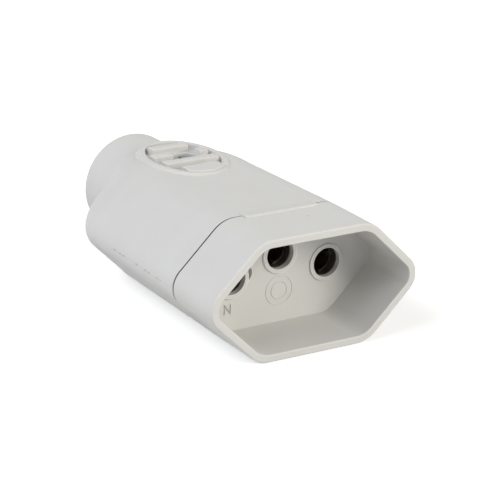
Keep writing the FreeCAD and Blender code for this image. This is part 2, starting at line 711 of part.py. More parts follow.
def add_screw(label, head_radius, head_height, shank_length, x, y, z):
    """A slotted screw, standing with the underside of its head at x, y and z."""
    body = add_body(label, x=x, z=z, y=y)
    head = plan_sketch(body, label + "_head", "0")
    add_circle(head, head_radius)
    pad(body, head, head_height)
    shank = plan_sketch(body, label + "_shank", "0")
    add_circle(shank, "thread_radius")
    pad(body, shank, shank_length, backwards=True)
    slot = plan_sketch(body, label + "_slot", head_height)
    add_rectangle(slot, "-screw_slot_width / 2", "screw_slot_width / 2", "-" + head_radius, head_radius)
    pocket(body, slot, "screw_slot_depth")
    return body


def contact_retainer():
    """An insulating plate behind the terminals, standing in the tail's slot, with a hole for each wire."""
    body = add_body("contact_retainer")
    outline = front_sketch(body, "retainer_outline", RETAINER_FRONT)
    right = [
        ("retainer_tongue_half_width", TAIL_BOTTOM),
        ("retainer_tongue_half_width", TAIL_TOP),
        ("tail_half_width", TAIL_TOP),
        ("tail_half_width", "-retainer_foot"),
        ("retainer_half_width", "-retainer_foot"),
        ("retainer_half_width", "retainer_shoulder"),
        ("retainer_half_width - retainer_slope", "retainer_top"),
    ]
    left = [("-(%s)" % x, z) for x, z in reversed(right)]
    add_polygon(outline, right + left)
    pad(body, outline, "retainer_thickness", backwards=True)
    holes = front_sketch(body, "retainer_wire_holes", RETAINER_FRONT)
    for x, z in CONTACTS.values():
        add_circle(holes, "wire_hole_radius + shank_clearance", x, z)
    pocket(body, holes, "retainer_thickness")
    return body


def clamp_bridge():
    """The bar that holds the cord in its saddle, with a boss that takes the cover's screw."""
    body = add_body("clamp_bridge")
    bar = front_sketch(body, "bridge_bar", CLAMP_FRONT)
    add_rectangle(bar, "-clamp_half_width", "clamp_half_width", "bridge_bottom", BRIDGE_TOP)
    pad(body, bar, "clamp_length", backwards=True)
    boss = plan_sketch(body, "bridge_boss", "bridge_bottom", "cover_screw_offset", SCREW_DEPTH)
    add_circle(boss, "clamp_screw_pitch / 2 - clamp_head_radius - 2 * fit_clearance - cover_screw_offset")
    pad(body, boss, "bridge_thickness + bridge_boss_rise")
    cradle = front_sketch(body, "bridge_cradle", CLAMP_FRONT)
    add_circle(cradle, "cord_radius")
    pocket(body, cradle, "clamp_length")
    clear_holes = plan_sketch(body, "bridge_screw_holes", BRIDGE_TOP, along=SCREW_DEPTH)
    for x in CLAMP_SIDES:
        add_circle(clear_holes, "thread_radius + shank_clearance", x)
    pocket(body, clear_holes, "bridge_thickness")
    tapped = plan_sketch(body, "bridge_tapped_hole", BOSS_TOP, "cover_screw_offset", SCREW_DEPTH)
    add_circle(tapped, "thread_radius + thread_clearance")
    pocket(body, tapped, BOSS_TOP)
    return body


def build():
    """Make every piece and return them all."""
    pieces = [socket_body(), rear_cover(), contact_retainer(), clamp_bridge()]
    for name, (x, z) in CONTACTS.items():
        pieces.append(add_contact(name, x, z))
        pieces.append(add_spring(name, x, z))
        pieces.append(add_screw(name + "_terminal_screw", "terminal_head_radius", "terminal_head_height",
                                "terminal_width / 2 - wire_hole_radius + terminal_screw_bite",
                                x, TERMINAL_MIDDLE, "%s + terminal_width / 2" % z))
    clamp_shank = "%s + saddle_top + pilot_depth - shank_clearance" % BRIDGE_TOP
    for side, x in zip(("left", "right"), CLAMP_SIDES):
        pieces.append(add_screw("clamp_screw_" + side, "clamp_head_radius", "clamp_head_height",
                                clamp_shank, x, SCREW_DEPTH, BRIDGE_TOP))
    pieces.append(add_screw("cover_screw", "cover_head_radius", "cover_head_height",
                            "%s - cord_radius - shank_clearance" % WELL_SEAT,
                            "cover_screw_offset", SCREW_DEPTH, WELL_SEAT))
    return pieces


pieces = build()
doc.recompute()
for item in doc.Objects:
    if "Invalid" in item.State or "Error" in item.State:
        raise RuntimeError("%s failed: %s" % (item.Name, item.State))
for piece in pieces:
    if piece.Shape.isNull() or not piece.Shape.isValid() or len(piece.Shape.Solids) != 1:
        raise RuntimeError(piece.Label + " is not one sound solid")
os.makedirs("parts", exist_ok=True)
for piece in pieces:
    piece.Shape.exportStep("parts/%s.step" % piece.Label)
    box = piece.Shape.BoundBox
    print("%s: %.1f mm3, x %.2f..%.2f, y %.2f..%.2f, z %.2f..%.2f" % (
        piece.Label, piece.Shape.Volume, box.XMin, box.XMax, box.YMin, box.YMax, box.ZMin, box.ZMax))
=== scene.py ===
"""Looks of an inline power socket: its finishes, screws, fine moulded marks and a plain studio."""
import math

import bpy
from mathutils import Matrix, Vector


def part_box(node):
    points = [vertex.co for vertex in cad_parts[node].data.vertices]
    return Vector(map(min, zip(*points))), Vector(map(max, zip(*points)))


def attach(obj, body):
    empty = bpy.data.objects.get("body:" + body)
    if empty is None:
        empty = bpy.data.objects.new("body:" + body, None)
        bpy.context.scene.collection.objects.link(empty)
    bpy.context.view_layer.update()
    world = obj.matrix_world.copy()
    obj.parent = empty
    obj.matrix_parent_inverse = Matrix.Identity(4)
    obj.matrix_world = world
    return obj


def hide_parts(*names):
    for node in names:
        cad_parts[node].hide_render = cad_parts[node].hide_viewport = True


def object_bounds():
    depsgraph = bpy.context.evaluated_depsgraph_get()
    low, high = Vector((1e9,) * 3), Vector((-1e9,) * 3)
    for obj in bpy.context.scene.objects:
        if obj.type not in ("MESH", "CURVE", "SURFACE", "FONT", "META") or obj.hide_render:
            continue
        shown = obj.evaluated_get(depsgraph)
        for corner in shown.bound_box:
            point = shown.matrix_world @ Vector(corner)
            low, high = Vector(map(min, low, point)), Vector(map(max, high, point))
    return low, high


bl_info = {
    "name": "Inline Power Socket",
    "version": (1, 0, 0),
    "blender": (4, 5, 0),
    "location": "View3D > Sidebar > Socket",
    "description": "Finishes a packed inline power socket and sets it in a plain studio",
    "category": "Object",
}

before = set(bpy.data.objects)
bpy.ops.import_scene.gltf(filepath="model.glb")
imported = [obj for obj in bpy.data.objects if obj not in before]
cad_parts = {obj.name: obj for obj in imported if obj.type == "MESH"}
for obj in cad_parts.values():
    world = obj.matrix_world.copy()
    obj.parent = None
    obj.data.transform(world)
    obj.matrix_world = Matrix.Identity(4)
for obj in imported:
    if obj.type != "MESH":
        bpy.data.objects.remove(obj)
CAD_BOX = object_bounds()
BODY = "root"
MM = 0.001

CUP = "socket_body"
COVER = "rear_cover"
INSULATORS = ("contact_retainer", "clamp_bridge")
CONTACTS = ("line_contact", "neutral_contact", "earth_contact")
SPRINGS = ("line_spring_ring", "neutral_spring_ring", "earth_spring_ring")
TERMINAL_SCREWS = ("line_terminal_screw", "neutral_terminal_screw", "earth_terminal_screw")
CLAMP_SCREWS = ("clamp_screw_left", "clamp_screw_right")
COVER_SCREW = "cover_screw"

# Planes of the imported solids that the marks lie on
RIM_Y = -32.7 * MM
FLOOR_Y = -20.9 * MM
AXIS_Z = 10.8 * MM

# Where the three pins go in, across and up, and the radius inside which only their holes' walls lie
PIN_AXES = ((9.5 * MM, AXIS_Z), (-9.5 * MM, AXIS_Z), (0.0, AXIS_Z + 3 * MM))
PIN_REACH = 2.72 * MM

# Depths behind the rim between which the seam's edges lie, on the cup and on the cover, and half the
# width of the tongue, whose edges get no painted shade
CUP_SEAM = (12.57 * MM, 12.9 * MM)
COVER_SEAM = (12.8 * MM, 12.92 * MM)
TONGUE_HALF = 7.2 * MM

# Sockets of a Mix node that take its two colours, and the one that gives their mixture
MIX_A, MIX_B, MIX_RESULT = 6, 7, 2

# Share of the rays into the plastic that meet no other face nearby, which is 1 far from any edge: where
# an edge's painted highlight begins, and where it is full
HIGHLIGHT_BEGINS = 0.95
HIGHLIGHT_FULL = 0.55

# Width of one band of the wave texture at a scale of 1
WAVE_BAND = math.pi / 10

# Width of the clouds of tarnish on metal, and how much rougher the palest metal is than the darkest
TARNISH_WIDTH = 1.6 * MM
TARNISH_ROUGH = 0.18

# Width of the paper's fibres, and how strongly it glows where it is seen, so that it comes out white
FIBRE_WIDTH = 2 * MM
PAPER_LIFT = 0.5

# Faces that meet at less than this angle are shaded as one, and points this near each other are merged
SMOOTH_ANGLE = math.radians(35)
MERGE_DISTANCE = 0.001 * MM

# How far a screw's thread reaches up into its head, in millimetres, the turns it is wound too long by
# before it is cut, and the outline of one turn: shares of the pitch, with True on the thread's crest
THREAD_BURIED = 0.15
SPARE_TURNS = 3
THREAD_OUTLINE = ((0.0, False), (0.15, False), (0.45, True), (0.6, True), (0.9, False), (1.0, False))

# The parting line along the cover's sides: depths behind the rim, and where its bead swells to nibs
FLASH_FRONT = 13.2 * MM
FLASH_STEP = 0.4 * MM
FLASH_POINTS = 54
FLASH_NIBS = tuple(depth * MM for depth in (14.0, 17.2, 18.4, 21.2, 22.4, 25.6, 30.4, 31.6, 33.6))

# How far out from the middle a ray towards the cover's side starts
RAY_START = 40 * MM

# Height of a capital letter as a share of the font's size, and how narrow the mould's letter is cut
CAP_SHARE = 0.72
LETTER_NARROW = 0.78

# Turn of a mark that is drawn flat and stands on the cup's floor
UPRIGHT = (math.pi / 2, 0, 0)

# Round on the pin mark's edge, as a share of its height
GATE_ROUND = 0.4

# The paper's width, and how far it lies under the socket, so that the two don't share a plane
FLOOR_WIDTH = 1.2
FLOOR_GAP = 0.02 * MM

# Width in millimetres of the camera's sensor, which the lens is given for
SENSOR_WIDTH = 36


def linear(code):
    """Linear colour with full alpha from an sRGB hex value such as #D2D2D0."""
    shares = [int(code[at:at + 2], 16) / 255 for at in (1, 3, 5)]
    return tuple(s / 12.92 if s <= 0.04045 else ((s + 0.055) / 1.055) ** 2.4 for s in shares) + (1.0,)


# Settings

class SocketFinishSettings(bpy.types.PropertyGroup):
    """Colours and grain of the socket's materials"""
    housing: bpy.props.FloatVectorProperty(
        name="Housing", description="Moulded cup and cover", subtype="COLOR", size=4, min=0, max=1,
        default=linear("#D3D3D1"))
    housing_dull: bpy.props.FloatVectorProperty(
        name="Housing, dull", description="Slightly darker clouds in the moulded plastic",
        subtype="COLOR", size=4, min=0, max=1, default=linear("#CDCCC9"))
    # Painted highlight: a light colour laid on the housing's sharp edges, and how much of it they take
    painted_highlight: bpy.props.FloatVectorProperty(
        name="Painted highlight", description="Light painted along moulded edges as their highlight", subtype="COLOR",
        size=4, min=0, max=1, default=linear("#F0F0ED"))
    edge_highlight: bpy.props.FloatProperty(
        name="Edge highlight", description="How much of that colour the housing's sharpest edges take",
        subtype="FACTOR", default=0.45, min=0, max=1)
    # Painted shade: a darker grey laid on the fine marks in place of the shade they hold
    mark_shade: bpy.props.FloatVectorProperty(
        name="Mark shade", description="Painted shade on the fine marks", subtype="COLOR", size=4, min=0, max=1,
        default=linear("#B2B0AA"))
    mark_shade_dark: bpy.props.FloatVectorProperty(
        name="Mark shade, dark", description="Darker spots in that painted shade", subtype="COLOR", size=4, min=0,
        max=1, default=linear("#A6A49E"))
    # Painted shade laid on the edges inside the seam, so that the seam reads as a dark line
    seam_shade: bpy.props.FloatVectorProperty(
        name="Seam shade", description="Painted shade on the edges inside the seam", subtype="COLOR", size=4,
        min=0, max=1, default=linear("#7C7A75"))
    # Painted shade on the walls of the pin holes past a depth, so that they look deep
    hole_shade: bpy.props.FloatVectorProperty(
        name="Hole shade", description="Painted shade on the walls of the pin holes",
        subtype="COLOR", size=4, min=0, max=1, default=linear("#34322E"))
    shade_start: bpy.props.FloatProperty(
        name="Shade start",
        description="Depth in a pin hole, from the cup's floor, where the dark wall begins",
        unit="LENGTH", default=0.65 * MM)
    shade_end: bpy.props.FloatProperty(
        name="Shade end", description="Depth in a pin hole where the wall is fully dark", unit="LENGTH",
        default=1.1 * MM)
    insulator: bpy.props.FloatVectorProperty(
        name="Insulator", description="Retainer and clamp bridge", subtype="COLOR", size=4, min=0, max=1,
        default=linear("#C2C0B8"))
    brass: bpy.props.FloatVectorProperty(
        name="Brass", description="Contacts", subtype="COLOR", size=4, min=0, max=1,
        default=linear("#AFA68F"))
    brass_dark: bpy.props.FloatVectorProperty(
        name="Brass, dark", description="Tarnished clouds on the contacts", subtype="COLOR", size=4,
        min=0, max=1, default=linear("#8C836C"))
    spring: bpy.props.FloatVectorProperty(
        name="Spring steel", description="Rings round the contacts", subtype="COLOR", size=4, min=0,
        max=1, default=linear("#8C8D90"))
    spring_dark: bpy.props.FloatVectorProperty(
        name="Spring steel, dark", description="Darker clouds on those rings", subtype="COLOR", size=4,
        min=0, max=1, default=linear("#6F7175"))
    zinc: bpy.props.FloatVectorProperty(
        name="Zinc plate", description="Screws", subtype="COLOR", size=4, min=0, max=1,
        default=linear("#C4C7CB"))
    zinc_dark: bpy.props.FloatVectorProperty(
        name="Zinc plate, dark", description="Duller clouds on the screws", subtype="COLOR", size=4,
        min=0, max=1, default=linear("#A7ABB0"))
    grain: bpy.props.FloatProperty(
        name="Moulded grain", description="Width of the spark-eroded grain, drawn coarse enough to show",
        unit="LENGTH", default=0.18 * MM, min=0.02 * MM)
    clouds: bpy.props.FloatProperty(
        name="Clouds", description="Width of the faint clouds in the plastic", unit="LENGTH",
        default=9 * MM, min=1 * MM)
    edge_round: bpy.props.FloatProperty(
        name="Edge softness", description="Radius at which moulded edges catch the light", unit="LENGTH",
        default=0.12 * MM, min=0.0)
    cover_edge_round: bpy.props.FloatProperty(
        name="Cover softness", description="The same radius on the cover, whose mould is softer",
        unit="LENGTH", default=0.25 * MM, min=0.0)
    # Width of the painted highlight on sharp edges
    highlight_width: bpy.props.FloatProperty(
        name="Highlight width", description="How far in from a sharp edge the highlight is painted",
        unit="LENGTH", default=0.3 * MM, min=0.01 * MM)


class SocketScrewSettings(bpy.types.PropertyGroup):
    """Sizes of the slotted screws"""
    thread_radius: bpy.props.FloatProperty(
        name="Thread radius", description="Outside radius of every screw's thread", unit="LENGTH",
        default=1.25 * MM, min=0.5 * MM)
    thread_pitch: bpy.props.FloatProperty(
        name="Thread pitch", description="Rise of the thread in one turn", unit="LENGTH",
        default=0.45 * MM, min=0.2 * MM)
    thread_depth: bpy.props.FloatProperty(
        name="Thread depth", description="Depth of the thread's groove", unit="LENGTH",
        default=0.27 * MM, min=0.05 * MM)
    head_height: bpy.props.FloatProperty(
        name="Cover head height", description="Head of the cover's screw", unit="LENGTH",
        default=1.4 * MM, min=0.5 * MM)
    terminal_head_height: bpy.props.FloatProperty(
        name="Terminal head height", description="Head of the terminals' screws", unit="LENGTH",
        default=1.2 * MM, min=0.5 * MM)
    clamp_head_height: bpy.props.FloatProperty(
        name="Clamp head height", description="Head of the cord clamp's screws", unit="LENGTH",
        default=1.6 * MM, min=0.5 * MM)
    head_round: bpy.props.FloatProperty(
        name="Head round", description="Round on the head's upper edge", unit="LENGTH",
        default=0.4 * MM, min=0.05 * MM)
    slot_width: bpy.props.FloatProperty(
        name="Slot width", description="Width of the driver slot", unit="LENGTH", default=0.6 * MM,
        min=0.2 * MM)
    slot_depth: bpy.props.FloatProperty(
        name="Slot depth", description="Depth of the driver slot", unit="LENGTH", default=0.7 * MM,
        min=0.2 * MM)


class SocketMarkSettings(bpy.types.PropertyGroup):
    """Sizes of the fine moulded marks"""
    flash_radius: bpy.props.FloatProperty(
        name="Flash radius", description="Radius of the parting line's bead", unit="LENGTH",
        default=0.13 * MM, min=0.01 * MM)
    flash_sunk: bpy.props.FloatProperty(
        name="Flash depth", description="How deep the bead's middle lies in the cover", unit="LENGTH",
        default=0.127 * MM, min=0.0)
    nib_swell: bpy.props.FloatProperty(
        name="Nib swell", description="Radius of the bead's nibs, as a multiple of its own",
        default=1.75, min=1.0)
    pole_height: bpy.props.FloatProperty(
        name="Pole letter", description="Height of the neutral hole's letter", unit="LENGTH",
        default=2.0 * MM, min=0.5 * MM)
    ring_radius: bpy.props.FloatProperty(
        name="Ring", description="Radius of the mould insert's outer ring on the floor", unit="LENGTH",
        default=2.65 * MM, min=0.5 * MM)
    inner_ring_radius: bpy.props.FloatProperty(
        name="Inner ring", description="Radius of the mould insert's inner ring", unit="LENGTH",
        default=1.55 * MM, min=0.3 * MM)
    ring_place: bpy.props.FloatVectorProperty(
        name="Ring place", description="Middle of the rings on the floor", subtype="TRANSLATION",
        unit="LENGTH", default=(0.12 * MM, FLOOR_Y, AXIS_Z - 3.53 * MM))
    letter_place: bpy.props.FloatVectorProperty(
        name="Letter place", description="Middle of the letter on the floor", subtype="TRANSLATION",
        unit="LENGTH", default=(-10.1 * MM, FLOOR_Y, AXIS_Z - 5.35 * MM))
    letter_thinning: bpy.props.FloatProperty(
        name="Letter thinning", description="How much the letter's strokes lose on each side",
        unit="LENGTH", default=0.04 * MM, min=0.0)
    relief: bpy.props.FloatProperty(
        name="Relief", description="Height of the marks over their surface", unit="LENGTH",
        default=0.1 * MM, min=0.01 * MM)
    gate_radius: bpy.props.FloatProperty(
        name="Gate mark", description="Radius of the pin mark on top of the cup", unit="LENGTH",
        default=0.13 * MM, min=0.05 * MM)
    gate_place: bpy.props.FloatVectorProperty(
        name="Gate place", description="Place of the pin mark, seen from above", size=2, unit="LENGTH",
        default=(2.65 * MM, RIM_Y + 7.5 * MM))


class SocketStageSettings(bpy.types.PropertyGroup):
    """Camera, lamps and floor"""
    camera_place: bpy.props.FloatVectorProperty(
        name="Camera place", description="Where the camera stands", subtype="TRANSLATION", unit="LENGTH",
        default=(-189.21 * MM, -315.33 * MM, 143.57 * MM))
    camera_turn: bpy.props.FloatVectorProperty(
        name="Camera turn", description="How the camera is turned", subtype="EULER",
        default=(math.radians(69.735), math.radians(-1.529), math.radians(-31.338)))
    lens: bpy.props.FloatProperty(
        name="Lens", description="Focal length in millimetres on a 36 mm sensor", default=158.42, min=1)
    key_power: bpy.props.FloatProperty(
        name="Key light", description="Power of the warm lamp in front, to the right", unit="POWER",
        default=6.35, min=0)
    side_power: bpy.props.FloatProperty(
        name="Side light", description="Power of the cool lamp behind, to the left", unit="POWER",
        default=5.15, min=0)
    fill_power: bpy.props.FloatProperty(
        name="Fill light", description="Power of the weak lamp in front, to the left", unit="POWER",
        default=1.8, min=0)
    warm: bpy.props.FloatVectorProperty(
        name="Warm light", description="Colour of the key lamp", subtype="COLOR", size=4, min=0, max=1,
        default=linear("#FFFBF1"))
    cool: bpy.props.FloatVectorProperty(
        name="Cool light", description="Colour of the other two lamps", subtype="COLOR", size=4, min=0,
        max=1, default=linear("#F9FBFF"))
    sky: bpy.props.FloatProperty(
        name="Sky", description="Strength of the even light from all round", default=0.24, min=0)
    paper: bpy.props.FloatVectorProperty(
        name="Floor", description="Pale paper under the socket", subtype="COLOR", size=4, min=0, max=1,
        default=linear("#DADADA"))
    fibres: bpy.props.FloatVectorProperty(
        name="Fibres", description="Paler fibres in that paper", subtype="COLOR", size=4, min=0, max=1,
        default=linear("#DEDEDE"))


# Materials

def add_node(tree, kind, sources=(), **settings):
    """Add a node and set its options and named inputs, then fill inputs by (input, socket or value)."""
    node = tree.nodes.new(kind)
    for name, setting in settings.items():
        label = name.replace("_", " ")
        if label in node.inputs:
            node.inputs[label].default_value = setting
        else:
            setattr(node, name, setting)
    for name, source in sources:
        if isinstance(source, bpy.types.NodeSocket):
            tree.links.new(source, node.inputs[name])
        else:
            node.inputs[name].default_value = source
    return node


def start_material(name):
    """A new material with a principled shader, and the piece's own coordinates."""
    material = bpy.data.materials.new(name)
    material.use_nodes = True
    tree = material.node_tree
    shader = tree.nodes["Principled BSDF"]
    place = add_node(tree, "ShaderNodeTexCoord").outputs["Object"]
    return material, tree, shader, place


def lay_over(tree, mask, colour):
    """Lay a colour over a material's own, as thickly as a mask says."""
    base = tree.nodes["Principled BSDF"].inputs["Base Color"]
    under = base.links[0].from_socket
    over = add_node(tree, "ShaderNodeMix", [("Factor", mask), (MIX_A, under), (MIX_B, colour)],
                    data_type="RGBA")
    tree.links.new(over.outputs[MIX_RESULT], base)


def moulded_plastic(name, colour, dull, finish, edge_round, edge_highlight=0.0):
    """Plastic moulded in a spark-eroded tool.

    To the eye it is an even satin skin: a fine grain breaks up the highlights, slow faint clouds keep
    the colour from looking painted, and crisp edges catch a thin soft light. Given a share of edge
    highlight, those edges also take a painted highlight, as thin lighter lines.
    """
    material, tree, shader, place = start_material(name)
    slow = add_node(tree, "ShaderNodeTexNoise", [("Vector", place)], Scale=1 / finish.clouds, Detail=3.0)
    fine = add_node(tree, "ShaderNodeTexNoise", [("Vector", place)], Scale=1 / finish.grain, Detail=4.0,
                    Roughness=0.6)
    tint = add_node(tree, "ShaderNodeMix", [("Factor", slow.outputs[0]), (MIX_A, dull), (MIX_B, colour)],
                    data_type="RGBA")
    tree.links.new(tint.outputs[MIX_RESULT], shader.inputs["Base Color"])
    # Painted highlight: a lighter colour laid on sharp edges, found by how soon rays into the plastic
    # leave it
    if edge_highlight:
        thin = add_node(tree, "ShaderNodeAmbientOcclusion", inside=True, only_local=True, samples=8,
                        Distance=finish.highlight_width)
        highlight_mask = add_node(tree, "ShaderNodeMapRange", [("Value", thin.outputs["AO"])],
                        From_Min=HIGHLIGHT_BEGINS, From_Max=HIGHLIGHT_FULL, To_Min=0.0, To_Max=edge_highlight)
        lay_over(tree, highlight_mask.outputs["Result"], finish.painted_highlight)
    gloss = add_node(tree, "ShaderNodeMapRange", [("Value", fine.outputs[0])], To_Min=0.56, To_Max=0.7)
    tree.links.new(gloss.outputs["Result"], shader.inputs["Roughness"])
    soft_edge = add_node(tree, "ShaderNodeBevel", Radius=edge_round, samples=6)
    skin = add_node(tree, "ShaderNodeBump",
                    [("Height", fine.outputs[0]), ("Normal", soft_edge.outputs["Normal"])],
                    Strength=0.12, Distance=0.05 * MM)
    tree.links.new(skin.outputs["Normal"], shader.inputs["Normal"])
    shader.inputs["IOR"].default_value = 1.53
    return material


def shaded_mark_plastic(finish):
    """The housing's plastic in a darker grey: painted shade on the fine marks, which makes them stand
    out.
    """
    name = "moulded_abs_mark_shade"
    return bpy.data.materials.get(name) or moulded_plastic(name, finish.mark_shade, finish.mark_shade_dark, finish,
                                                           finish.edge_round)


def paint_seam_shade(material, depths, finish):
    """Paint shade on the edges inside the seam, beside the tongue, so that it shows as a dark line."""
    tree = material.node_tree
    place = add_node(tree, "ShaderNodeTexCoord").outputs["Object"]
    parts = add_node(tree, "ShaderNodeSeparateXYZ", [("Vector", place)])
    across = add_node(tree, "ShaderNodeMath", [(0, parts.outputs["X"])], operation="ABSOLUTE")
    front, back = depths
    mask = 1.0
    for source, operation, limit in ((across.outputs[0], "GREATER_THAN", TONGUE_HALF),
                                     (parts.outputs["Y"], "GREATER_THAN", RIM_Y + front),
                                     (parts.outputs["Y"], "LESS_THAN", RIM_Y + back)):
        inside = add_node(tree, "ShaderNodeMath", [(0, source), (1, limit)], operation=operation)
        both = add_node(tree, "ShaderNodeMath", [(0, mask), (1, inside.outputs[0])], operation="MINIMUM")
        mask = both.outputs[0]
    lay_over(tree, mask, finish.seam_shade)


def paint_pin_hole_shade(material, finish):
    """Paint shade on the walls of the pin holes past a depth, so that they look deep."""
    tree = material.node_tree
    place = add_node(tree, "ShaderNodeTexCoord").outputs["Object"]
    across = add_node(tree, "ShaderNodeVectorMath", [(0, place), (1, (1, 0, 1))], operation="MULTIPLY")
    holes = 0.0
    for x, z in PIN_AXES:
        away = add_node(tree, "ShaderNodeVectorMath", [(0, across.outputs["Vector"]), (1, (x, 0, z))],
                        operation="DISTANCE")
        inside = add_node(tree, "ShaderNodeMath", [(0, away.outputs["Value"]), (1, PIN_REACH)],
                          operation="LESS_THAN")
        either = add_node(tree, "ShaderNodeMath", [(0, holes), (1, inside.outputs[0])],
                          operation="MAXIMUM")
        holes = either.outputs[0]
    parts = add_node(tree, "ShaderNodeSeparateXYZ", [("Vector", place)])
    deep = add_node(tree, "ShaderNodeMapRange", [("Value", parts.outputs["Y"])],
                    From_Min=FLOOR_Y + finish.shade_start, From_Max=FLOOR_Y + finish.shade_end)
    mask = add_node(tree, "ShaderNodeMath", [(0, holes), (1, deep.outputs["Result"])],
                    operation="MINIMUM")
    lay_over(tree, mask.outputs[0], finish.hole_shade)


def turned_metal(name, colour, dark, ring, rough, axis="Y"):
    """Metal with the fine rings of a lathe tool, or the lines of a roller, and a little tarnish.

    The rings, drawn several times coarser than real ones so that they show, stretch the highlights
    across the axis, and the tarnish keeps the colour and the gloss uneven.
    """
    material, tree, shader, place = start_material(name)
    rings = add_node(tree, "ShaderNodeTexWave", [("Vector", place)], Scale=WAVE_BAND / ring,
                     Distortion=0.6, Detail=2.0, wave_type="BANDS", bands_direction=axis)
    tarnish = add_node(tree, "ShaderNodeTexNoise", [("Vector", place)], Scale=1 / TARNISH_WIDTH,
                       Detail=5.0)
    tint = add_node(tree, "ShaderNodeMix",
                    [("Factor", tarnish.outputs[0]), (MIX_A, dark), (MIX_B, colour)], data_type="RGBA")
    tree.links.new(tint.outputs[MIX_RESULT], shader.inputs["Base Color"])
    gloss = add_node(tree, "ShaderNodeMapRange", [("Value", tarnish.outputs[0])],
                     To_Min=rough, To_Max=rough + TARNISH_ROUGH)
    tree.links.new(gloss.outputs["Result"], shader.inputs["Roughness"])
    bump = add_node(tree, "ShaderNodeBump", [("Height", rings.outputs["Color"])], Strength=0.15,
                    Distance=0.02 * MM)
    tree.links.new(bump.outputs["Normal"], shader.inputs["Normal"])
    shader.inputs["Metallic"].default_value = 1.0
    return material


def seen_directly(tree):
    """A factor that is 1 for what the camera, a reflection or a clear body sees of a surface."""
    path = add_node(tree, "ShaderNodeLightPath")
    seen = path.outputs["Is Camera Ray"]
    for ray in ("Is Glossy Ray", "Is Transmission Ray"):
        either = add_node(tree, "ShaderNodeMath", [(0, seen), (1, path.outputs[ray])],
                          operation="MAXIMUM")
        seen = either.outputs[0]
    return seen


def matt_paper(colour, fibre_colour):
    """Matt paper, lifted to white where it is seen, with the socket's soft shadow left on it."""
    material, tree, shader, place = start_material("matt_paper")
    fibres = add_node(tree, "ShaderNodeTexNoise", [("Vector", place)], Scale=1 / FIBRE_WIDTH, Detail=2.0)
    tint = add_node(tree, "ShaderNodeMix",
                    [("Factor", fibres.outputs[0]), (MIX_A, colour), (MIX_B, fibre_colour)],
                    data_type="RGBA")
    tree.links.new(tint.outputs[MIX_RESULT], shader.inputs["Base Color"])
    shader.inputs["Roughness"].default_value = 0.9
    shader.inputs["Emission Color"].default_value = (1, 1, 1, 1)
    lift = add_node(tree, "ShaderNodeMath", [(0, seen_directly(tree)), (1, PAPER_LIFT)],
                    operation="MULTIPLY")
    tree.links.new(lift.outputs[0], shader.inputs["Emission Strength"])
    return material


def dress(nodes, material):
    """Give CAD nodes a finish in place of their packed one."""
    for name in nodes:
        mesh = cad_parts[name].data
        mesh.materials.clear()
        mesh.materials.append(material)


# Modelling

def deselect():
    """Leave edit mode, with nothing selected."""
    if bpy.context.object and bpy.context.object.mode != "OBJECT":
        bpy.ops.object.mode_set(mode="OBJECT")
    bpy.ops.object.select_all(action="DESELECT")


def choose(piece):
    """Make one object the only selected one."""
    deselect()
    piece.select_set(True)
    bpy.context.view_layer.objects.active = piece


def apply_modifier(piece, kind, **settings):
    """Add a modifier with its settings and apply it."""
    choose(piece)
    modifier = piece.modifiers.new(kind.title(), kind)
    for name, setting in settings.items():
        setattr(modifier, name, setting)
    bpy.ops.object.modifier_apply(modifier=modifier.name)


def settle(piece, name, material):
    """Name a finished piece, put its place into its mesh, dress it and let it ride."""
    choose(piece)
    bpy.ops.object.transform_apply(location=True, rotation=True, scale=True)
    bpy.ops.object.shade_smooth_by_angle(angle=SMOOTH_ANGLE)
    piece.name = name
    piece.data.name = name
    piece.data.materials.clear()
    piece.data.materials.append(material)
    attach(piece, BODY)


def select_vertices(piece, test):
    """In edit mode, select the vertices that meet a test."""
    bpy.ops.object.mode_set(mode="OBJECT")
    for vertex in piece.data.vertices:
        vertex.select = test(vertex.co)
    bpy.ops.object.mode_set(mode="EDIT")


def model_thread(settings, length):
    """A closed threaded rod, in millimetres, from a little inside the head down to the screw's tip."""
    pitch = settings.thread_pitch / MM
    crest = settings.thread_radius / MM
    root = crest - settings.thread_depth / MM
    outline = [(crest if raised else root, share * pitch) for share, raised in THREAD_OUTLINE]
    deselect()
    bpy.ops.mesh.primitive_plane_add(size=1)
    rod = bpy.context.object
    bpy.ops.object.mode_set(mode="EDIT")
    bpy.ops.mesh.select_all(action="SELECT")
    bpy.ops.mesh.merge(type="CENTER")
    bpy.ops.transform.translate(value=(root, 0, -length - SPARE_TURNS / 2 * pitch))
    for (radius, rise), (to_radius, to_rise) in zip(outline, outline[1:]):
        bpy.ops.mesh.extrude_region_move(
            TRANSFORM_OT_translate={"value": (to_radius - radius, 0, to_rise - rise)})
    bpy.ops.object.mode_set(mode="OBJECT")
    apply_modifier(rod, "SCREW", axis="Z", angle=2 * math.pi, screw_offset=pitch,
                   iterations=math.ceil(length / pitch) + SPARE_TURNS, steps=28, render_steps=28,
                   use_merge_vertices=True, merge_threshold=MERGE_DISTANCE / MM,
                   use_normal_calculate=True)
    bpy.ops.object.mode_set(mode="EDIT")
    bpy.ops.mesh.select_all(action="SELECT")
    bpy.ops.mesh.remove_doubles(threshold=MERGE_DISTANCE / MM)
    for level, clear_outer in ((-length, False), (THREAD_BURIED, True)):
        bpy.ops.mesh.select_all(action="SELECT")
        bpy.ops.mesh.bisect(plane_co=(0, 0, level), plane_no=(0, 0, 1), use_fill=True,
                            clear_inner=not clear_outer, clear_outer=clear_outer)
    bpy.ops.mesh.select_all(action="SELECT")
    bpy.ops.mesh.normals_make_consistent(inside=False)
    bpy.ops.object.mode_set(mode="OBJECT")
    return rod


